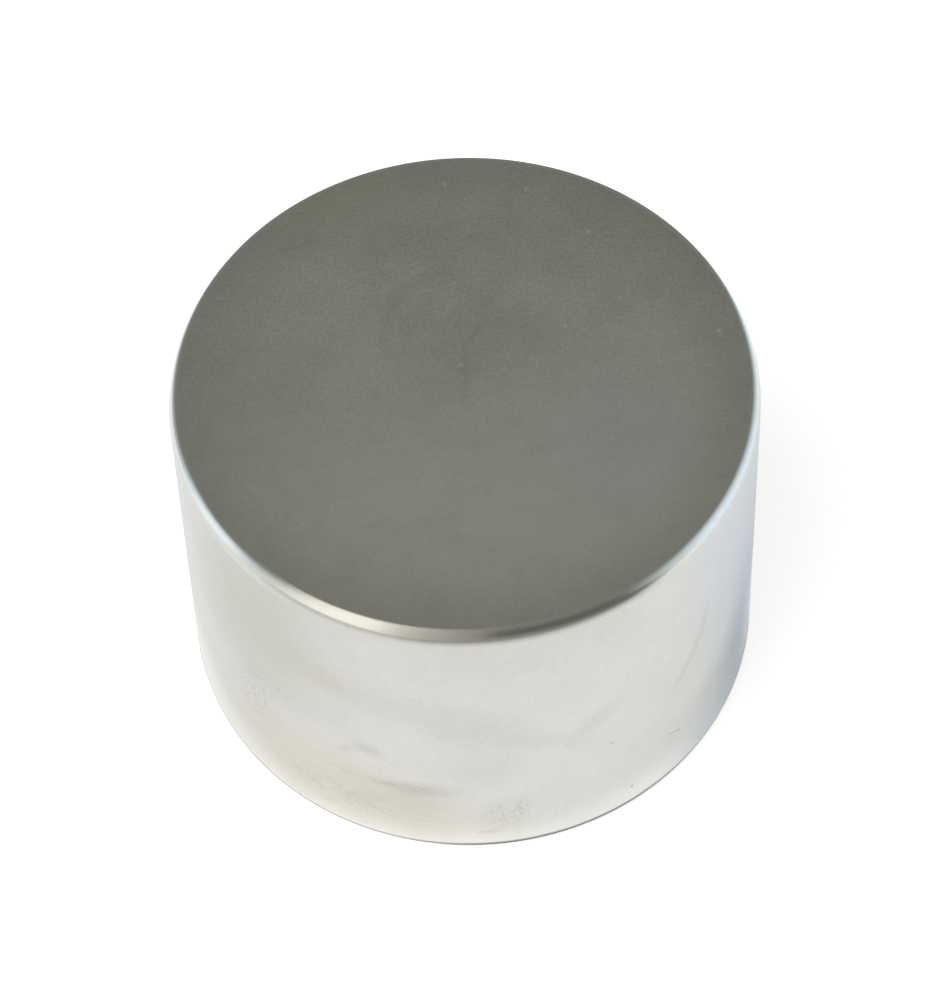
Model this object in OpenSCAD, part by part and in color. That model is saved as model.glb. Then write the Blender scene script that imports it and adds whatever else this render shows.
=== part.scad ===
// Cylinder magnet: one solid, nickel-plated block of sintered magnet alloy.
// It stands on one pole face, with its axis along +Z and the origin in the
// middle of the face that it stands on. All sizes are over the plating.

/* [Body] */
// Outside diameter of the ground wall
diameter = 45; // [10:0.5:120]
// Height from the resting face to the upper face
height = 31.5; // [5:0.5:120]

/* [Edges] */
// Radius of the tumbled edge round the upper face
top_edge_r = 0.8; // [0.2:0.1:2]
// Radius of the tumbled edge round the resting face
foot_edge_r = 0.8; // [0.2:0.1:2]

/* [Finish] */
// Colour of the satin nickel plating
plating_colour = "#B9BAB4"; // [#B9BAB4, #A9AAA3, #C9CAC5]

/* [Hidden] */
wall_r = diameter / 2;
top_face_r = wall_r - top_edge_r;
foot_face_r = wall_r - foot_edge_r;
wall_top_z = height - top_edge_r;
wall_height = wall_top_z - foot_edge_r;
$fn = 144;

// Quarter of a disc that fills the corner above and outside its centre
module edge_quarter(r) {
    intersection() {
        circle(r = r);
        square([r, r]);
    }
}

// Half of the magnet's section, standing on the X axis beside the Y axis
module half_section() {
    translate([0, foot_edge_r])
        square([wall_r, wall_height]);

    // Slabs between the wall and each pole face
    translate([0, wall_top_z])
        square([top_face_r, top_edge_r]);
    square([foot_face_r, foot_edge_r]);

    // Rounded edges
    translate([top_face_r, wall_top_z])
        edge_quarter(top_edge_r);
    translate([foot_face_r, foot_edge_r])
        mirror([0, 1])
            edge_quarter(foot_edge_r);
}

module magnet() {
    color(plating_colour)
        rotate_extrude()
            half_section();
}

magnet();
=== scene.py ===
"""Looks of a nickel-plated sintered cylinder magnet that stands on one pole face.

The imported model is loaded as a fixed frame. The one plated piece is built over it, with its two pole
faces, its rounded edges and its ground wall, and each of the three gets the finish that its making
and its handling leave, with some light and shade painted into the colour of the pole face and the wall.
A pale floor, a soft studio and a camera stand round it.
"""
import logging
import math
from dataclasses import dataclass
from enum import Enum

import bmesh
import bpy
from mathutils import Matrix, Vector


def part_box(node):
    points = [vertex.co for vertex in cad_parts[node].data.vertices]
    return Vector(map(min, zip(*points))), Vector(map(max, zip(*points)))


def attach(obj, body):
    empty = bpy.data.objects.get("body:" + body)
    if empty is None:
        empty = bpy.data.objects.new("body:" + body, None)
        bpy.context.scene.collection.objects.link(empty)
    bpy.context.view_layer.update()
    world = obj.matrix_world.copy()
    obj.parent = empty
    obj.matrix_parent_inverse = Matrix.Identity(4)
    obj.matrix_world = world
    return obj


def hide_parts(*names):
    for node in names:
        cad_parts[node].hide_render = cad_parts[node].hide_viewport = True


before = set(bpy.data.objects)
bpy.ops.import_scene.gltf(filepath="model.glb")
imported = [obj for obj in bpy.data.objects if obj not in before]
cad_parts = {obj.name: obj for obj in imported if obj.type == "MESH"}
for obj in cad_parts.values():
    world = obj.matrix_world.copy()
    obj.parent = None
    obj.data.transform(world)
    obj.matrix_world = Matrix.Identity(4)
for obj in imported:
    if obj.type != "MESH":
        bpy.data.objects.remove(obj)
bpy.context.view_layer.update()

MM = 0.001
DEGREE = math.pi / 180
LOG = logging.getLogger("magnet")
Socket = bpy.types.NodeSocket
Tree = bpy.types.NodeTree
Light = tuple[float, float, float]

# Settings that many nodes share. A smooth MapRange has its value at input 0, the value at which it
# starts at 1 and the one at which it is full at 2; what it gives there is at 3 and 4, or else 0 and 1.
TIMES = {"operation": "MULTIPLY"}
SMOOTH = {"interpolation_type": "SMOOTHSTEP"}
# A colour Mix has its share at input 0, the colour under it at 6 and the one laid over at 7.
LAY_OVER = {"data_type": "RGBA", "out": 2}

# What handling leaves: brown and olive stains, grey haze, bare bright spots and dark specks. Some of these
# colours also paint light: the brown lays a darker V on the front of the wall as painted reflection, the
# haze lays painted shade on the back of the pole face, and the bright colour a painted highlight on its
# front.
BROWN, OLIVE, HAZE_AND_SHADE, BRIGHT, DARK_SPECK = "#6E6252", "#75776A", "#7C7B76", "#F4F4EE", "#23211E"
# Tints laid over the plate. On the wall, the tan and the moss are painted warm light on its left and the
# steel is painted bluish shade on its right; rose tints the wall, and cream and a cool tint the pole face.
# Then the dark of the open pores of a pole face.
PAINTED_WARM_LIGHT, PAINTED_OLIVE_LIGHT, ROSE, PAINTED_BLUE_SHADE, CREAM, CHILL = "#D0C3A8", "#A8AC97", "#A8978A", "#8497AB", "#DCDDC6", "#E3E8F1"
PORE = "#8B8B82"

# A face's normal is less upright than the first on the wall, and more than the second on a pole face.
LEVEL_NORMAL, UPRIGHT_NORMAL = 0.5, 0.9999


def linear(colour: str) -> tuple[float, float, float, float]:
    """Turns an sRGB hex colour into linear light.

    Args:
        colour: the colour as "#RRGGBB".

    Returns:
        Red, green, blue and an alpha of 1.
    """
    def channel(text: str) -> float:
        """Undoes the sRGB curve for one channel."""
        share = int(text, 16) / 255
        return share / 12.92 if share <= 0.04045 else ((share + 0.055) / 1.055) ** 2.4

    return (channel(colour[1:3]), channel(colour[3:5]), channel(colour[5:7]), 1.0)


def add_node(
    tree: Tree, kind: str, inputs: dict | None = None, out: int | str = 0, **settings: object
) -> Socket | None:
    """Adds one shader node with its settings, values and links.

    Args:
        tree: the node tree that gets the node.
        kind: the node's type name, without its "ShaderNode" start.
        inputs: socket name or number, and the value or the output socket that it takes.
        out: the name or number of the output that is handed back.
        **settings: settings of the node itself, such as operation.

    Returns:
        The chosen output socket, or nothing where the node ends the tree.
    """
    node = tree.nodes.new("ShaderNode" + kind)
    for setting, value in settings.items():
        setattr(node, setting, value)
    for socket, value in (inputs or {}).items():
        if isinstance(value, Socket):
            tree.links.new(value, node.inputs[socket])
        else:
            node.inputs[socket].default_value = value
    return node.outputs[out] if node.outputs else None


def blank_material(name: str) -> tuple[bpy.types.Material, Tree]:
    """Makes a material with an empty node tree.

    Args:
        name: the name of the finish.

    Returns:
        The material and its node tree.
    """
    material = bpy.data.materials.new(name)
    material.use_nodes = True
    material.node_tree.nodes.clear()
    return material, material.node_tree


def turn_of(tree: Tree, place: Socket) -> Socket:
    """Gives the turn of a place round the upright axis, in radians.

    Args:
        tree: the node tree.
        place: the place, or a direction.

    Returns:
        A socket that is 0 at the front and grows to the right.
    """
    axes = add_node(tree, "SeparateXYZ", {0: place}).node.outputs
    front = add_node(tree, "Math", {0: axes["Y"], 1: -1.0}, **TIMES)
    return add_node(tree, "Math", {0: axes["X"], 1: front}, operation="ARCTAN2")


def within(tree: Tree, *limits: tuple[Socket, float, float]) -> Socket:
    """Says how far a place is inside several soft limits.

    Args:
        tree: the node tree.
        *limits: for each, the value that it limits, where that starts to be inside, and where it is
            fully inside.

    Returns:
        A socket with 0 outside any of them and 1 inside them all.
    """
    share = 1.0
    for value, start, full in limits:
        inside = add_node(tree, "MapRange", {0: value, 1: start, 2: full}, **SMOOTH)
        share = add_node(tree, "Math", {0: share, 1: inside}, **TIMES)
    return share


def plate(
    tree: Tree, colour: Socket, roughness: Socket | float, relief: Socket, relief_mm: float,
    relief_share: Socket | float = 1.0,
) -> None:
    """Ends a finish as bare nickel with a fine relief.

    Args:
        tree: the node tree of the finish.
        colour: the colour of the plate.
        roughness: its roughness.
        relief: the pattern of the relief, from 0 to 1.
        relief_mm: the height of the relief, in mm.
        relief_share: how much of the relief shows at a place.
    """
    bump = add_node(tree, "Bump", {"Height": relief, "Distance": relief_mm * MM, "Strength": relief_share})
    shader = add_node(
        tree, "BsdfPrincipled",
        {"Base Color": colour, "Metallic": 1.0, "Roughness": roughness, "Normal": bump},
    )
    add_node(tree, "OutputMaterial", {"Surface": shader})


class Zone(Enum):
    """The three differently finished areas of the magnet, by material slot number."""

    POLE_FACE = 0
    EDGE = 1
    WALL = 2


class Breakup(Enum):
    """How a mark on the plating is broken up.

    Each gives the size of the lumps in mm, how many times wider than high they are, and the noise
    values at which the mark starts and is full. The smoothest kind is hardly broken up, and it tints the
    plate
    without dulling it: it carries thin films, and also painted tints of light and shade.
    """

    FILM = (6.0, 1.0, 0.05, 0.28)
    EVEN = (1.6, 1.0, 0.10, 0.60)
    STREAKED = (0.9, 5.0, 0.34, 0.66)
    SPECKLED = (0.30, 1.2, 0.47, 0.62)


@dataclass(frozen=True)
class Mark:
    """A soft oval mark on the plating, placed in mm on the flat face or on the unrolled wall.

    Its lean is in degrees, and its core is the share of its size inside which it doesn't fade.
    """

    across: float
    up: float
    half_length: float
    half_width: float
    lean: float
    strength: float
    colour: str
    breakup: Breakup = Breakup.EVEN
    core: float = 0.0

    def share(self, tree: Tree, flat: Socket, grains: dict[Breakup, Socket]) -> Socket:
        """Says how much of the mark shows at a place.

        Args:
            tree: the node tree of the finish.
            flat: the place on the surface, in metres.
            grains: the pattern of each kind of breakup.

        Returns:
            A socket with 0 outside the mark and up to its strength inside.
        """
        local = add_node(
            tree, "Mapping",
            {
                "Vector": flat,
                "Location": (self.across * MM, self.up * MM, 0),
                "Rotation": (0, 0, math.radians(self.lean)),
                "Scale": (self.half_length * MM, self.half_width * MM, 1),
            },
            vector_type="TEXTURE",
        )
        reach = add_node(tree, "VectorMath", {0: local}, operation="LENGTH", out="Value")
        inside = add_node(tree, "MapRange", {0: reach, 1: 1.0, 2: self.core, 4: self.strength}, **SMOOTH)
        return add_node(tree, "Math", {0: inside, 1: grains[self.breakup]}, **TIMES)


@dataclass(frozen=True)
class Stroke:
    """A thin curved mark: part of a ring round a centre in mm, from one angle to another in degrees.

    It fades across its half width, and along it beyond the share full_to of its half length.
    """

    across: float
    up: float
    radius: float
    half_width: float
    start: float
    end: float
    strength: float
    colour: str = HAZE_AND_SHADE
    breakup: Breakup = Breakup.FILM
    full_to: float = 0.6

    def share(self, tree: Tree, flat: Socket, grains: dict[Breakup, Socket]) -> Socket:
        """Says how much of the stroke shows at a place.

        Args:
            tree: the node tree of the finish.
            flat: the place on the surface, in metres.
            grains: the pattern of each kind of breakup.

        Returns:
            A socket with 0 beside the stroke and up to its strength on its line.
        """
        middle, half = (math.radians((self.end + sign * self.start) / 2) for sign in (1, -1))
        local = add_node(
            tree, "Mapping",
            {"Vector": flat, "Location": (self.across * MM, self.up * MM, 0), "Rotation": (0, 0, middle)},
            vector_type="TEXTURE",
        )
        reach = add_node(tree, "VectorMath", {0: local}, operation="LENGTH", out="Value")
        off = add_node(tree, "Math", {0: reach, 1: self.radius * MM}, operation="SUBTRACT")
        off = add_node(tree, "Math", {0: off}, operation="ABSOLUTE")
        axes = add_node(tree, "SeparateXYZ", {0: local}).node.outputs
        angle = add_node(tree, "Math", {0: axes["Y"], 1: axes["X"]}, operation="ARCTAN2")
        angle = add_node(tree, "Math", {0: angle}, operation="ABSOLUTE")
        line = within(tree, (off, self.half_width * MM, 0.0), (angle, half, half * self.full_to))
        line = add_node(tree, "Math", {0: line, 1: self.strength}, **TIMES)
        return add_node(tree, "Math", {0: line, 1: grains[self.breakup]}, **TIMES)


@dataclass(frozen=True)
class Veil:
    """A fine unevenness all over the plating.

    It gives the size of its lumps in mm, their detail, the noise values at which a lump starts and is
    full, and the share and colour that it lays over the plate.
    """

    size_mm: float
    detail: float
    start: float
    full: float
    share: float
    colour: str = HAZE_AND_SHADE

    def lay(
        self, tree: Tree, place: Socket, colour: Socket | tuple, seen: Socket | float = 1.0
    ) -> tuple[Socket, Socket]:
        """Lays the unevenness over a colour.

        Args:
            tree: the node tree of the finish.
            place: the place in the object, in metres.
            colour: the colour under it.
            seen: how much of it shows at a place.

        Returns:
            The colour with the unevenness, and the pattern of its lumps, with values round 0.5.
        """
        lumps = add_node(
            tree, "TexNoise", {"Vector": place, "Scale": 1 / (self.size_mm * MM), "Detail": self.detail}
        )
        share = add_node(tree, "MapRange", {0: lumps, 1: self.start, 2: self.full, 4: self.share}, **SMOOTH)
        share = add_node(tree, "Math", {0: share, 1: seen}, **TIMES)
        return add_node(tree, "Mix", {0: share, 6: colour, 7: linear(self.colour)}, **LAY_OVER), lumps


def lay_marks(
    tree: Tree, colour: Socket, flat: Socket, place: Socket, marks: tuple[Mark | Stroke, ...]
) -> tuple[Socket, Socket]:
    """Lays marks over a finish's colour.

    Args:
        tree: the node tree of the finish.
        colour: the colour under the marks.
        flat: the place on the face or the unrolled wall, in metres.
        place: the place in the object, in metres, for the patterns that break the marks up.
        marks: the marks, lowest first.

    Returns:
        The colour with the marks, and a socket that says how thickly the broken-up marks cover a place; these
        are stains, and some painted light.
    """
    detail = 3.0
    grains = {}
    for kind in Breakup:
        size_mm, flatness, start, full = kind.value
        squashed = add_node(
            tree, "Mapping", {"Vector": place, "Scale": (1, 1, flatness)}, vector_type="POINT"
        )
        lumps = add_node(
            tree, "TexNoise", {"Vector": squashed, "Scale": 1 / (size_mm * MM), "Detail": detail}
        )
        grains[kind] = add_node(tree, "MapRange", {0: lumps, 1: start, 2: full}, **SMOOTH)
    stain_and_shade = None
    for mark in marks:
        share = mark.share(tree, flat, grains)
        colour = add_node(tree, "Mix", {0: share, 6: colour, 7: linear(mark.colour)}, **LAY_OVER)
        if mark.breakup is Breakup.FILM:
            continue
        stain_and_shade = share if stain_and_shade is None else add_node(
            tree, "Math", {0: stain_and_shade, 1: share}, operation="MAXIMUM"
        )
    return colour, stain_and_shade


FACE_MARKS = (
    # Painted highlight: the front of the pole face is laid brighter.
    Mark(2.0, -10.0, 21.0, 12.5, 4, 0.50, BRIGHT),
    Mark(-8.0, -8.5, 9.0, 6.0, 15, 0.12, BRIGHT),
    Mark(11.5, -6.0, 12.5, 12.0, 0, 0.28, CHILL, Breakup.FILM),
    Mark(-10.0, 17.5, 19.0, 8.5, 32, 0.30, CREAM, Breakup.FILM),
    # Painted shade: the back half of the pole face is laid darker.
    Mark(-1.0, 15.0, 21.0, 11.0, 0, 0.11, HAZE_AND_SHADE),
    Mark(-15.0, 1.5, 7.0, 12.0, 0, 0.12, HAZE_AND_SHADE, Breakup.FILM),
    Mark(0.0, 14.5, 18.0, 6.0, 0, 0.06, HAZE_AND_SHADE, Breakup.FILM),
    Mark(11.5, 10.5, 9.0, 5.5, -45, 0.09, HAZE_AND_SHADE, Breakup.FILM),
    Mark(-0.6, 5.0, 7.2, 6.6, 0, 0.10, HAZE_AND_SHADE, core=0.5),
    Mark(5.9, 4.4, 3.4, 3.0, 0, 0.11, HAZE_AND_SHADE, Breakup.FILM),
    Stroke(-0.4, 5.2, 5.6, 0.9, 75, 215, 0.07),
    Mark(0.9, 4.9, 1.6, 0.42, 64, 0.14, HAZE_AND_SHADE, Breakup.FILM),
    Mark(0.1, 1.2, 4.8, 0.75, 88, 0.11, HAZE_AND_SHADE, Breakup.FILM),
    Mark(4.05, 17.1, 1.3, 0.6, 80, 0.09, HAZE_AND_SHADE, Breakup.FILM),
    Mark(2.0, 18.0, 2.2, 1.6, 0, 0.10, BRIGHT),
    Mark(-12.7, 13.8, 4.2, 0.19, 18, 0.17, HAZE_AND_SHADE, Breakup.FILM),
    Mark(-0.2, 2.05, 0.28, 0.22, 0, 0.8, BRIGHT, Breakup.FILM, 0.3),
    Mark(7.9, 5.3, 0.28, 0.22, 0, 0.8, BRIGHT, Breakup.FILM, 0.3),
    Mark(12.2, 7.7, 0.24, 0.22, 0, 0.7, BRIGHT, Breakup.FILM, 0.3),
    Mark(16.2, 4.3, 0.24, 0.20, 0, 0.6, BRIGHT, Breakup.FILM, 0.3),
    Mark(19.6, 4.3, 0.30, 0.26, 0, 0.8, BRIGHT, Breakup.FILM, 0.3),
    Mark(10.1, 14.2, 0.28, 0.30, 0, 0.7, BRIGHT, Breakup.FILM, 0.3),
    Mark(5.4, 18.6, 0.20, 0.36, 0, 0.7, BRIGHT, Breakup.FILM, 0.3),
    Mark(-0.9, 19.4, 0.20, 0.36, 0, 0.7, BRIGHT, Breakup.FILM, 0.3),
    Mark(-3.6, 10.9, 0.42, 0.34, 0, 0.6, BRIGHT, Breakup.FILM),
    Mark(-12.4, -11.9, 0.42, 0.36, 0, 0.5, BRIGHT, Breakup.FILM),
    Mark(11.0, -5.2, 0.36, 0.30, 0, 0.5, BRIGHT, Breakup.FILM),
)

WALL_MARKS = (
    # Painted light: a greenish warm tint over the left of the wall.
    Mark(-19.5, 24.5, 11.5, 14.0, 0, 0.28, PAINTED_OLIVE_LIGHT, Breakup.FILM, 0.2),
    Mark(-31.0, 7.0, 6.0, 13.0, 0, 0.05, PAINTED_OLIVE_LIGHT, Breakup.FILM),
    # Painted light: a warm tint low on the front left of the wall.
    Mark(-13.0, 6.0, 15.0, 8.5, 0, 0.27, PAINTED_WARM_LIGHT, Breakup.FILM, 0.3),
    Mark(-2.0, 3.5, 11.0, 5.5, 0, 0.18, PAINTED_WARM_LIGHT, Breakup.FILM),
    Mark(-11.0, 21.3, 7.5, 3.8, 0, 0.17, ROSE, Breakup.FILM),
    Mark(-13.5, 15.5, 6.5, 6.0, 0, 0.09, ROSE, Breakup.FILM),
    Mark(-11.0, 5.0, 12.5, 5.0, 0, 0.12, BROWN, Breakup.STREAKED),
    Mark(-11.5, 5.0, 9.5, 5.0, 0, 0.07, BROWN, Breakup.SPECKLED),
    # Painted reflection: these three lay a darker V across the front of the wall.
    Mark(-0.5, 18.2, 9.5, 4.2, -27, 0.09, BROWN, Breakup.FILM, 0.2),
    Mark(9.2, 15.8, 5.0, 2.0, 38, 0.09, BROWN, Breakup.FILM),
    Mark(4.6, 15.6, 4.4, 1.5, -14, 0.06, BROWN),
    Mark(0.0, 12.0, 7.0, 4.5, 0, 0.06, BROWN, Breakup.FILM),
    Mark(-4.7, 8.95, 4.9, 1.6, 2, 0.14, BROWN, Breakup.FILM),
    Mark(-4.9, 8.9, 4.8, 1.7, 2, 0.13, BROWN, Breakup.STREAKED),
    Mark(-5.2, 7.6, 6.0, 3.0, 2, 0.09, BROWN, Breakup.FILM),
    Mark(-8.0, 9.0, 6.5, 0.8, 1, 0.12, BROWN, Breakup.STREAKED),
    Mark(-8.6, 13.4, 1.9, 1.3, -18, 0.18, BROWN, Breakup.FILM),
    Mark(-10.4, 12.5, 1.9, 0.9, 30, 0.10, BROWN, Breakup.FILM),
    Mark(1.7, 5.4, 3.2, 3.6, 0, 0.06, OLIVE, Breakup.FILM),
    Mark(1.7, 5.3, 2.8, 3.4, 0, 0.19, OLIVE, Breakup.SPECKLED),
    Mark(3.2, 6.0, 1.1, 2.8, -12, 0.22, OLIVE, Breakup.SPECKLED),
    Mark(0.7, 2.9, 1.6, 0.5, 4, 0.17, BROWN, Breakup.FILM),
    Mark(-19.8, 11.8, 4.4, 4.2, 0, 0.23, OLIVE, Breakup.SPECKLED),
    Mark(-18.0, 15.5, 4.0, 3.2, 0, 0.15, OLIVE, Breakup.SPECKLED),
    # Painted shade: a bluish darkening on the right of the wall, strongest low down.
    Mark(29.0, 6.0, 7.0, 18.5, 0, 0.72, PAINTED_BLUE_SHADE, Breakup.FILM, 0.1),
    Mark(25.0, 20.0, 8.5, 16.0, 0, 0.12, PAINTED_BLUE_SHADE, Breakup.FILM),
    Mark(22.5, 1.0, 7.5, 5.5, 0, 0.38, PAINTED_BLUE_SHADE, Breakup.FILM),
    Stroke(10.5, 21.5, 9.95, 0.85, -58, 0, 0.12),
    # The first lays the inside of the nick dark; the others are dark specks.
    Mark(16.8, 6.85, 0.74, 0.16, -12, 0.34, DARK_SPECK, Breakup.FILM, 0.3),
    Mark(12.62, 3.2, 0.18, 0.14, 0, 0.65, DARK_SPECK, Breakup.FILM, 0.3),
    Mark(10.75, 11.4, 0.19, 0.17, 0, 0.34, DARK_SPECK, Breakup.FILM, 0.3),
    Mark(22.7, 14.8, 0.18, 0.14, 0, 0.40, DARK_SPECK, Breakup.FILM, 0.3),
)


@dataclass(frozen=True)
class PoleFaceNickel:
    """Nickel plate over a lapped sintered face: satin, with the grain of the alloy showing through.

    The plate is laid a little darker towards the edge, as painted shade, and the grain is laid weaker in
    its front half, so it shows less there; for the grain's colour that is painted light.
    """

    colour: str = "#E8E8E2"
    rim_shade_colour: str = "#D2D3CB"
    # It is laid darker, as painted shade, between these shares of the radius.
    rim_shade_from: float = 0.70
    rim_shade_to: float = 1.05
    roughness: float = 0.28
    roughness_spread: float = 0.05
    # This much of the grain is laid in the front half; for its colour, the rise to the back is painted light.
    front_grain_share: float = 0.10
    # The sintered grain is 5 to 10 microns; it is drawn coarser, because it wouldn't show.
    pores: Veil = Veil(0.25, 1.0, 0.62, 0.34, 0.15, PORE)
    glints: Veil = Veil(0.40, 0.0, 0.72, 0.84, 0.30, BRIGHT)
    mottle: Veil = Veil(0.55, 2.0, 0.35, 0.65, 0.05)
    clouds: Veil = Veil(4.0, 4.0, 0.35, 0.70, 0.08)
    grain_height_mm: float = 0.0012

    def material(self, radius: float) -> bpy.types.Material:
        """Makes the material.

        Args:
            radius: the radius of the flat face, in metres.

        Returns:
            The material.
        """
        material, tree = blank_material("satin_nickel_pole_face")
        place = add_node(tree, "TexCoord", out="Object")
        flat = add_node(tree, "VectorMath", {0: place, 1: (1, 1, 0)}, **TIMES)
        reach = add_node(tree, "VectorMath", {0: flat}, operation="LENGTH", out="Value")
        # Painted shade: the colour is laid darker towards the rim.
        rim_shade = within(tree, (reach, radius * self.rim_shade_from, radius * self.rim_shade_to))
        colour = add_node(
            tree, "Mix", {0: rim_shade, 6: linear(self.colour), 7: linear(self.rim_shade_colour)}, **LAY_OVER
        )
        # The pores and glints are laid weaker at the front and stronger at the back: for the colour this is
        # painted light.
        depth = add_node(tree, "SeparateXYZ", {0: place}, out="Y")
        grainy = add_node(tree, "MapRange", {0: depth, 1: -radius / 2, 2: radius / 2, 3: self.front_grain_share, 4: 1.0})
        colour, grain = self.pores.lay(tree, place, colour, grainy)
        colour, _ = self.glints.lay(tree, place, colour, grainy)
        for veil in (self.mottle, self.clouds):
            colour, _ = veil.lay(tree, place, colour)
        colour, _ = lay_marks(tree, colour, flat, place, FACE_MARKS)
        worn = add_node(
            tree, "MapRange",
            {0: grain, 3: self.roughness - self.roughness_spread, 4: self.roughness + self.roughness_spread},
        )
        plate(tree, colour, worn, grain, self.grain_height_mm, grainy)
        return material


@dataclass(frozen=True)
class EdgeNickel:
    """Nickel plate over a tumbled edge: smoother and brighter than the areas beside it."""

    colour: str = "#D9D9D3"
    roughness: float = 0.17
    dimples: Veil = Veil(0.5, 2.0, 0.5, 0.7, 0.06)
    dimple_height_mm: float = 0.002

    def material(self) -> bpy.types.Material:
        """Makes the material.

        Returns:
            The material.
        """
        material, tree = blank_material("bright_nickel_edge")
        place = add_node(tree, "TexCoord", out="Object")
        colour, dimples = self.dimples.lay(tree, place, linear(self.colour))
        plate(tree, colour, self.roughness, dimples, self.dimple_height_mm)
        return material


@dataclass(frozen=True)
class WallNickel:
    """Nickel plate over a ground wall: an even soft mirror with handling stains and rubs, and painted light
    and shade.
    """

    colour: str = "#DBDCDA"
    roughness: float = 0.17
    marked_roughness: float = 0.5
    clouds: Veil = Veil(4.0, 4.0, 0.35, 0.75, 0.055)
    fine: Veil = Veil(0.27, 2.0, 0.35, 0.70, 0.065)
    # Grinding leaves lines of a few microns round the wall; they are drawn coarser, or they wouldn't show.
    # A line is grind_mm high and grind_length times as long.
    grind_mm: float = 0.12
    grind_height_mm: float = 0.0012
    grind_length: float = 14.0
    grind_detail: float = 2.0

    def material(self, radius: float) -> bpy.types.Material:
        """Makes the material.

        Args:
            radius: the radius of the wall, in metres.

        Returns:
            The material.
        """
        material, tree = blank_material("soft_mirror_nickel_wall")
        place = add_node(tree, "TexCoord", out="Object")
        along = add_node(tree, "Math", {0: turn_of(tree, place), 1: radius}, **TIMES)
        up = add_node(tree, "SeparateXYZ", {0: place}, out="Z")
        flat = add_node(tree, "CombineXYZ", {"X": along, "Y": up})
        colour, _ = self.clouds.lay(tree, place, linear(self.colour))
        colour, _ = self.fine.lay(tree, place, colour)
        colour, stain_and_shade = lay_marks(tree, colour, flat, place, WALL_MARKS)
        drawn = add_node(
            tree, "Mapping", {"Vector": place, "Scale": (1, 1, self.grind_length)}, vector_type="POINT"
        )
        scale = 1 / (self.grind_mm * self.grind_length * MM)
        lines = add_node(tree, "TexNoise", {"Vector": drawn, "Scale": scale, "Detail": self.grind_detail})
        worn = add_node(tree, "MapRange", {0: stain_and_shade, 3: self.roughness, 4: self.marked_roughness})
        plate(tree, colour, worn, lines, self.grind_height_mm)
        return material


@dataclass(frozen=True)
class Nick:
    """A small dent that a knock has left in the wall. Sizes are in metres, the turn in degrees.

    Its floor is let in behind a narrow rim, and it leans by the slope as it goes round the wall.
    """

    turn: float = 42.8
    height: float = 6.85 * MM
    half_length: float = 0.78 * MM
    half_height: float = 0.42 * MM
    depth: float = 0.035 * MM
    rim: float = 0.16 * MM
    slope: float = -0.3

    def press(self, body: bmesh.types.BMesh, radius: float) -> None:
        """Presses the dent into the wall.

        Args:
            body: the mesh of the magnet.
            radius: the radius of the wall.
        """
        for level in (self.height - self.half_height, self.height + self.half_height):
            bmesh.ops.bisect_plane(
                body, geom=body.verts[:] + body.edges[:] + body.faces[:],
                plane_co=(0, 0, level), plane_no=(0, 0, 1),
            )
        middle = math.radians(self.turn)
        patch = []
        for face in body.faces:
            centre = face.calc_center_median()
            turn = math.atan2(centre.x, -centre.y)
            beside = abs(turn - middle) * radius < self.half_length
            level = abs(centre.z - self.height) < self.half_height
            if beside and level and abs(face.normal.z) < LEVEL_NORMAL:
                patch.append(face)
        bmesh.ops.inset_region(body, faces=patch, thickness=self.rim, depth=0.0, use_even_offset=True)
        floor = {vert for face in patch for vert in face.verts}
        for vert in floor:
            turn = math.atan2(vert.co.x, -vert.co.y)
            vert.co.z += (turn - middle) * radius * self.slope
            outward = Vector((vert.co.x, vert.co.y, 0)).normalized()
            vert.co -= outward * self.depth


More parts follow.
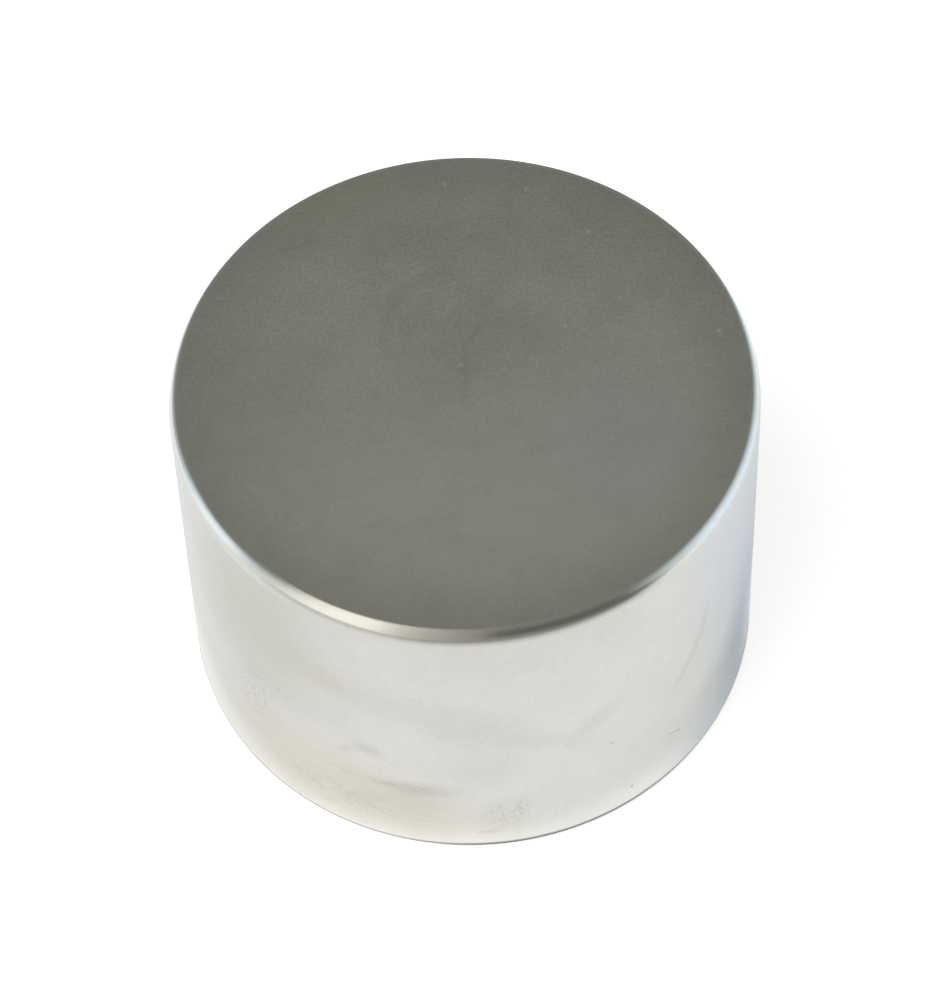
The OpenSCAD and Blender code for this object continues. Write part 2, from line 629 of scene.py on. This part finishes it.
@dataclass
class Magnet:
    """The plated block: two pole faces, two rounded edges and the wall between them.

    Tumbling runs each edge out a little further down the wall than across the face.
    """

    low: Vector
    high: Vector
    edge_radius: float = 0.8 * MM
    edge_drop: float = 1.4 * MM
    segments: int = 288
    edge_segments: int = 14
    nick: Nick = Nick()

    @property
    def radius(self) -> float:
        """Radius of the wall: half of the shorter side, so that the piece stays inside the CAD box."""
        return min(self.high.x - self.low.x, self.high.y - self.low.y) / 2

    @property
    def height(self) -> float:
        """Height between the pole faces."""
        return self.high.z - self.low.z

    def shape(self) -> bmesh.types.BMesh:
        """Builds the body, standing on its lower pole face.

        Returns:
            The closed body, with the nick in its wall.
        """
        body = bmesh.new()
        bmesh.ops.create_cone(
            body, cap_ends=True, cap_tris=False, segments=self.segments,
            radius1=self.radius, radius2=self.radius, depth=self.height,
            matrix=Matrix.Translation((0, 0, self.low.z + self.height / 2)),
        )
        rims = [edge for edge in body.edges if abs(edge.verts[0].co.z - edge.verts[1].co.z) < self.height / 2]
        bmesh.ops.bevel(
            body, geom=rims, offset=self.edge_radius, offset_type="OFFSET",
            segments=self.edge_segments, profile=0.5, affect="EDGES", material=-1,
        )
        # A touch more than the edge takes up, so that its last row of points is moved too.
        edge_reach = 1.01 * self.edge_radius
        for end in (self.low.z, self.high.z):
            band = [vert for vert in body.verts if abs(vert.co.z - end) < edge_reach]
            bmesh.ops.scale(
                body, verts=band, vec=(1, 1, self.edge_drop / self.edge_radius),
                space=Matrix.Translation((0, 0, -end)),
            )
        body.normal_update()
        self.nick.press(body, self.radius)
        return body

    def zone_of(self, face: bmesh.types.BMFace) -> Zone:
        """Says which area a mesh face belongs to.

        Args:
            face: the mesh face.

        Returns:
            The area, whose number is the face's material slot.
        """
        middle = face.calc_center_median()
        if abs(face.normal.z) > UPRIGHT_NORMAL:
            return Zone.POLE_FACE
        if self.low.z + self.edge_drop < middle.z < self.high.z - self.edge_drop:
            return Zone.WALL
        return Zone.EDGE

    def build(self) -> bpy.types.Object:
        """Makes the piece and dresses it.

        Returns:
            The finished piece, which stands for the CAD node.
        """
        body = self.shape()
        bmesh.ops.recalc_face_normals(body, faces=body.faces)
        for face in body.faces:
            face.smooth = True
            face.material_index = self.zone_of(face).value
        mesh = bpy.data.meshes.new("magnet_plated")
        body.to_mesh(mesh)
        body.free()
        piece = bpy.data.objects.new("magnet_plated", mesh)
        bpy.context.scene.collection.objects.link(piece)
        # The slots are in the order of the numbers in Zone.
        mesh.materials.append(PoleFaceNickel().material(self.radius - self.edge_radius))
        mesh.materials.append(EdgeNickel().material())
        mesh.materials.append(WallNickel().material(self.radius))
        even = piece.modifiers.new("even_shading", "WEIGHTED_NORMAL")
        even.weight = 100
        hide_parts("magnet")
        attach(piece, "root")
        return piece


@dataclass(frozen=True)
class SoftBox:
    """One soft-edged area of the studio that the metal mirrors. Angles are in degrees.

    All boxes hang round one hub of the ceiling. Left and right are bearings: 0 is the camera's side,
    and they grow to the right of it. A box starts at the distance inner from the hub, and its colour
    goes from near to far between the two distances of turns.
    """

    left: float
    right: float
    left_soft: float
    right_soft: float
    near: Light
    far: Light
    turns: tuple[float, float]
    inner: float = 0.0
    inner_soft: float = 1.0

    def paint(self, tree: Tree, bearing: Socket, reach: Socket, under: Socket) -> Socket:
        """Paints the box over what hangs behind it.

        Args:
            tree: the world's node tree.
            bearing: the bearing of the direction looked at, in radians.
            reach: its distance from the hub, in radians.
            under: the colour behind the box.

        Returns:
            The colour with the box in front.
        """
        left, left_half = self.left * DEGREE, self.left_soft * DEGREE / 2
        right, right_half = self.right * DEGREE, self.right_soft * DEGREE / 2
        inner, inner_soft = self.inner * DEGREE, self.inner_soft * DEGREE
        first, last = (turn * DEGREE for turn in self.turns)
        seen = within(
            tree,
            (bearing, left - left_half, left + left_half),
            (bearing, right + right_half, right - right_half),
            (reach, inner, inner + inner_soft),
        )
        farther = within(tree, (reach, first, last))
        colour = add_node(tree, "Mix", {0: farther, 6: (*self.near, 1), 7: (*self.far, 1)}, **LAY_OVER)
        return add_node(tree, "Mix", {0: seen, 6: under, 7: colour}, **LAY_OVER)


@dataclass(frozen=True)
class Lamp:
    """A soft lamp that lights the floor and isn't mirrored. Angles are in degrees."""

    name: str
    turn: float
    elevation: float
    spread: float
    strength: float
    colour: Light

    def build(self) -> bpy.types.Object:
        """Hangs the lamp.

        Returns:
            The lamp object.
        """
        lamp = bpy.data.lights.new(self.name, "SUN")
        lamp.energy = self.strength
        lamp.angle = math.radians(self.spread)
        lamp.color = self.colour
        turn, climb = math.radians(self.turn), math.radians(self.elevation)
        level = math.cos(climb)
        towards = Vector((math.sin(turn) * level, -math.cos(turn) * level, math.sin(climb)))
        piece = bpy.data.objects.new(self.name, lamp)
        piece.matrix_world = towards.to_track_quat("Z", "Y").to_matrix().to_4x4()
        piece.visible_glossy = False
        bpy.context.scene.collection.objects.link(piece)
        return piece


@dataclass(frozen=True)
class Dimness:
    """A sector in which the metal sees the paper dimmer, the further from the magnet. Angles in degrees.

    The share is what goes of red, green and blue; a share below 0 makes the paper brighter.
    """

    left: float
    right: float
    share: Light
    start: float
    end: float
    soft: float = 16.0

    def loss(self, tree: Tree, turn: Socket, reach: Socket) -> Socket:
        """Says how much of the full share goes at a place.

        Args:
            tree: the paper's node tree.
            turn: the turn of the place round the magnet, in radians.
            reach: its distance from the magnet's axis, in metres.

        Returns:
            A socket with 0 outside the sector and 1 where the full share goes.
        """
        return within(
            tree,
            (turn, self.left * DEGREE, (self.left + self.soft) * DEGREE),
            (turn, self.right * DEGREE, (self.right - self.soft) * DEGREE),
            (reach, self.start, self.end),
        )


@dataclass(frozen=True)
class Floor:
    """Matt white paper, which the camera and the metal see a little brighter than it is lit.

    The metal sees a sheet of limited size, with the bright ring of light that the wall throws round
    its own foot, the dark gap under the lower edge, and sectors that are dimmer or brighter.
    """

    size: float = 6.0
    colour: str = "#DCDCDC"
    lift: float = 0.40
    seen_lift: float = 0.64
    ring_lift: float = 0.22
    ring_width: float = 2.8 * MM
    gap_width: float = 0.3 * MM
    sheet_from: float = 70 * MM
    sheet_to: float = 125 * MM
    dims: tuple[Dimness, ...] = (
        Dimness(-70, 60, (0.46, 0.46, 0.46), 30 * MM, 105 * MM),
        Dimness(-30, 60, (0.22, 0.22, 0.22), 28 * MM, 100 * MM),
        Dimness(-150, -72, (-0.16, -0.25, -0.30), 42 * MM, 95 * MM),
        Dimness(54, 150, (-0.13, -0.22, -0.28), 42 * MM, 95 * MM),
        Dimness(60, 170, (0.03, -0.02, -0.09), 20 * MM, 28 * MM, 26),
        Dimness(110, 175, (-0.10, -0.13, -0.14), 20 * MM, 28 * MM, 26),
        Dimness(-170, -95, (0.02, -0.02, -0.06), 20 * MM, 28 * MM, 30),
        Dimness(-190, -36, (0.09, 0.09, 0.09), 46 * MM, 30 * MM, 34),
        Dimness(-190, -20, (0.06, 0.06, 0.06), 27 * MM, 23 * MM, 30),
        Dimness(37, 92, (0.26, 0.235, 0.215), 27 * MM, 23.3 * MM, 30),
        Dimness(58, 96, (0.14, 0.14, 0.14), 28 * MM, 24 * MM, 18),
        Dimness(-20, 60, (0.46, 0.46, 0.44), 23.0 * MM, 22.7 * MM, 24),
        Dimness(145, 220, (0.72, 0.72, 0.72), 30 * MM, 55 * MM),
        Dimness(-220, -145, (0.72, 0.72, 0.72), 30 * MM, 55 * MM),
    )

    def build(self, radius: float) -> bpy.types.Object:
        """Lays the floor.

        Args:
            radius: the radius of the magnet that stands on it.

        Returns:
            The floor object.
        """
        sheet = bmesh.new()
        bmesh.ops.create_grid(sheet, x_segments=1, y_segments=1, size=self.size / 2)
        mesh = bpy.data.meshes.new("floor")
        sheet.to_mesh(mesh)
        sheet.free()
        piece = bpy.data.objects.new("floor", mesh)
        bpy.context.scene.collection.objects.link(piece)
        mesh.materials.append(self.material(radius))
        return piece

    def brightness(self, tree: Tree, turn: Socket, reach: Socket, mirrored: Socket) -> Socket:
        """Says how bright the paper is at a place.

        Args:
            tree: the paper's node tree.
            turn: the turn of the place round the magnet, in radians.
            reach: its distance from the magnet's axis, in metres.
            mirrored: 1 where it is the metal that sees the paper, or else 0.

        Returns:
            A colour that is white, but for the sectors that the metal sees dimmer or brighter.
        """
        bright = (1.0, 1.0, 1.0)
        for dim in self.dims:
            seen = add_node(tree, "Math", {0: dim.loss(tree, turn, reach), 1: mirrored}, **TIMES)
            loss = add_node(tree, "VectorMath", {0: dim.share, "Scale": seen}, operation="SCALE")
            bright = add_node(tree, "VectorMath", {0: bright, 1: loss}, operation="SUBTRACT")
        return bright

    def material(self, radius: float) -> bpy.types.Material:
        """Makes the paper.

        Args:
            radius: the radius of the magnet that stands on it.

        Returns:
            The material.
        """
        material, tree = blank_material("matt_white_paper")
        material.cycles.emission_sampling = "NONE"
        rays = add_node(tree, "LightPath").node.outputs
        place = add_node(tree, "TexCoord", out="Object")
        turn = turn_of(tree, place)
        reach = add_node(tree, "VectorMath", {0: place}, operation="LENGTH", out="Value")
        bright = self.brightness(tree, turn, reach, rays["Is Glossy Ray"])
        shade = add_node(tree, "VectorMath", {0: bright, 1: linear(self.colour)[:3]}, **TIMES)
        paper = add_node(tree, "BsdfDiffuse", {"Color": shade})
        gap_end = radius + self.gap_width
        ring = add_node(
            tree, "MapRange",
            {0: reach, 1: radius + self.ring_width, 2: gap_end, 3: self.lift, 4: self.lift + self.ring_lift},
            **SMOOTH,
        )
        open_air = within(tree, (reach, radius, gap_end))
        mirrored = add_node(tree, "Math", {0: ring, 1: open_air}, **TIMES)
        mirrored = add_node(tree, "Math", {0: mirrored, 1: rays["Is Glossy Ray"]}, **TIMES)
        lift = add_node(
            tree, "Math", {0: rays["Is Camera Ray"], 1: self.seen_lift, 2: mirrored}, operation="MULTIPLY_ADD"
        )
        glow = add_node(tree, "Emission", {"Color": bright, "Strength": lift})
        lit = add_node(tree, "AddShader", {0: paper, 1: glow})
        beyond = within(tree, (reach, self.sheet_from, self.sheet_to))
        beyond = add_node(tree, "Math", {0: beyond, 1: rays["Is Glossy Ray"]}, **TIMES)
        clear = add_node(tree, "BsdfTransparent")
        both = add_node(tree, "MixShader", {0: beyond, 1: lit, 2: clear})
        add_node(tree, "OutputMaterial", {"Surface": both})
        return material


# The plain tones of the studio, as linear light: dull board, and the dark of an open door.
DULL = (0.240, 0.242, 0.221)
DOORWAY = (0.160, 0.155, 0.144)


@dataclass(frozen=True)
class Studio:
    """Bright cool walls, a dull ceiling, one tall warm soft box and a dark doorway, with two lamps."""

    walls: Light = (1.03, 1.17, 1.34)
    ceiling: Light = DULL
    hub_elevation: float = 60.0
    ceiling_from: float = 26.0
    ceiling_to: float = 108.0
    # A bearing is the turn times (bend x reach x reach + straight). That bends it a little off a plain
    # turn, so that a rounded edge shows the side of a box as a straight spoke.
    bend: float = -0.088
    straight: float = 0.906
    boxes: tuple[SoftBox, ...] = (
        SoftBox(-130, -75, 12, 16, DULL, (1.04, 1.12, 1.22), (45, 130)),
        SoftBox(-68, -54, 12, 8, DULL, (1.15, 1.30, 1.42), (30, 98)),
        SoftBox(-51, -20, 10, 8, DULL, (0.84, 0.88, 0.90), (30, 115)),
        SoftBox(28, 49, 6, 14, DULL, (0.86, 0.93, 1.00), (30, 125)),
        SoftBox(-6, 36, 4, 16, DULL, DOORWAY, (52, 98)),
        SoftBox(-6, 36, 4, 16, DOORWAY, (0.40, 0.40, 0.385), (112, 150), 104, 6),
        SoftBox(-20, 2.5, 5, 5, (0.285, 0.28, 0.255), (0.37, 0.36, 0.335), (5, 60)),
        SoftBox(-24, -3, 5, 6, (0.36, 0.35, 0.325), (0.50, 0.49, 0.45), (5, 45)),
        SoftBox(-30, -9.5, 5, 6, (0.43, 0.42, 0.385), (0.69, 0.67, 0.62), (5, 50)),
        SoftBox(-36, -16.5, 16, 9, (1.32, 1.29, 1.18), (1.32, 1.30, 1.22), (0, 180), 0, 45),
        SoftBox(108, 220, 12, 1, DULL, DULL, (0, 180)),
        SoftBox(-220, -108, 1, 12, DULL, DULL, (0, 180)),
    )
    lamps: tuple[Lamp, ...] = (
        Lamp("key", -62.0, 56.0, 50.0, 0.85, (1.0, 0.96, 0.90)),
        Lamp("fill", -10.0, 50.0, 80.0, 0.72, (1.0, 0.97, 0.93)),
    )
    floor: Floor = Floor()

    def world(self) -> None:
        """Fills the space round the object with the soft boxes; the camera itself sees white."""
        world = bpy.data.worlds.new("studio")
        bpy.context.scene.world = world
        world.use_nodes = True
        tree = world.node_tree
        tree.nodes.clear()
        way = add_node(tree, "TexCoord", out="Generated")
        hung = add_node(
            tree, "VectorRotate", {"Vector": way, "Angle": (90 - self.hub_elevation) * DEGREE},
            rotation_type="X_AXIS",
        )
        height = add_node(tree, "SeparateXYZ", {0: hung}, out="Z")
        reach = add_node(tree, "Math", {0: height}, operation="ARCCOSINE")
        raised = within(tree, (reach, self.ceiling_from * DEGREE, self.ceiling_to * DEGREE))
        sky = add_node(tree, "Mix", {0: raised, 6: (*self.ceiling, 1), 7: (*self.walls, 1)}, **LAY_OVER)
        square = add_node(tree, "Math", {0: reach, 1: reach}, **TIMES)
        bent = add_node(
            tree, "Math", {0: square, 1: self.bend, 2: self.straight}, operation="MULTIPLY_ADD"
        )
        bearing = add_node(tree, "Math", {0: turn_of(tree, hung), 1: bent}, **TIMES)
        for box in self.boxes:
            sky = box.paint(tree, bearing, reach, sky)
        direct = add_node(tree, "LightPath", out="Is Camera Ray")
        seen = add_node(tree, "Mix", {0: direct, 6: sky, 7: (1, 1, 1, 1)}, **LAY_OVER)
        back = add_node(tree, "Background", {"Color": seen, "Strength": 1.0})
        add_node(tree, "OutputWorld", {"Surface": back})

    def build(self, radius: float) -> None:
        """Sets the floor, the world and the lamps.

        Args:
            radius: the radius of the magnet that stands in the studio.
        """
        self.floor.build(radius)
        self.world()
        for lamp in self.lamps:
            lamp.build()


@dataclass(frozen=True)
class Eye:
    """The camera: a long lens that looks down on the magnet from the front. Angles are in degrees."""

    lens_mm: float = 163.9
    elevation: float = 56.232
    distance: float = 358.18 * MM
    roll: float = -2.206
    pan: float = 0.0645
    tilt: float = 0.0259
    clip_near: float = 10 * MM
    clip_far: float = 50.0

    def build(self, target: Vector) -> bpy.types.Object:
        """Places the camera.

        Args:
            target: the point that it looks at.

        Returns:
            The camera object.
        """
        data = bpy.data.cameras.new("eye")
        data.lens = self.lens_mm
        data.clip_start = self.clip_near
        data.clip_end = self.clip_far
        piece = bpy.data.objects.new("eye", data)
        bpy.context.scene.collection.objects.link(piece)
        climb = math.radians(self.elevation)
        back = Vector((0, -math.cos(climb), math.sin(climb)))
        turn = (-back).to_track_quat("-Z", "Y").to_matrix().to_4x4()
        pan, tilt, roll = (
            Matrix.Rotation(math.radians(angle), 4, axis)
            for angle, axis in ((self.pan, "Y"), (self.tilt, "X"), (self.roll, "Z"))
        )
        place = Matrix.Translation(target + back * self.distance)
        piece.matrix_world = place @ turn @ (pan @ tilt) @ roll
        bpy.context.scene.camera = piece
        return piece


def main() -> None:
    """Builds the camera, the piece and the studio."""
    logging.basicConfig(level=logging.INFO, format="%(name)s: %(message)s")
    low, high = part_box("magnet")
    Eye().build((low + high) / 2)
    magnet = Magnet(low, high)
    piece = magnet.build()
    LOG.info("%s: %d faces", piece.name, len(piece.data.polygons))
    Studio().build(magnet.radius)
    bpy.context.scene.view_settings.view_transform = "Standard"


if __name__ == "__main__":
    main()
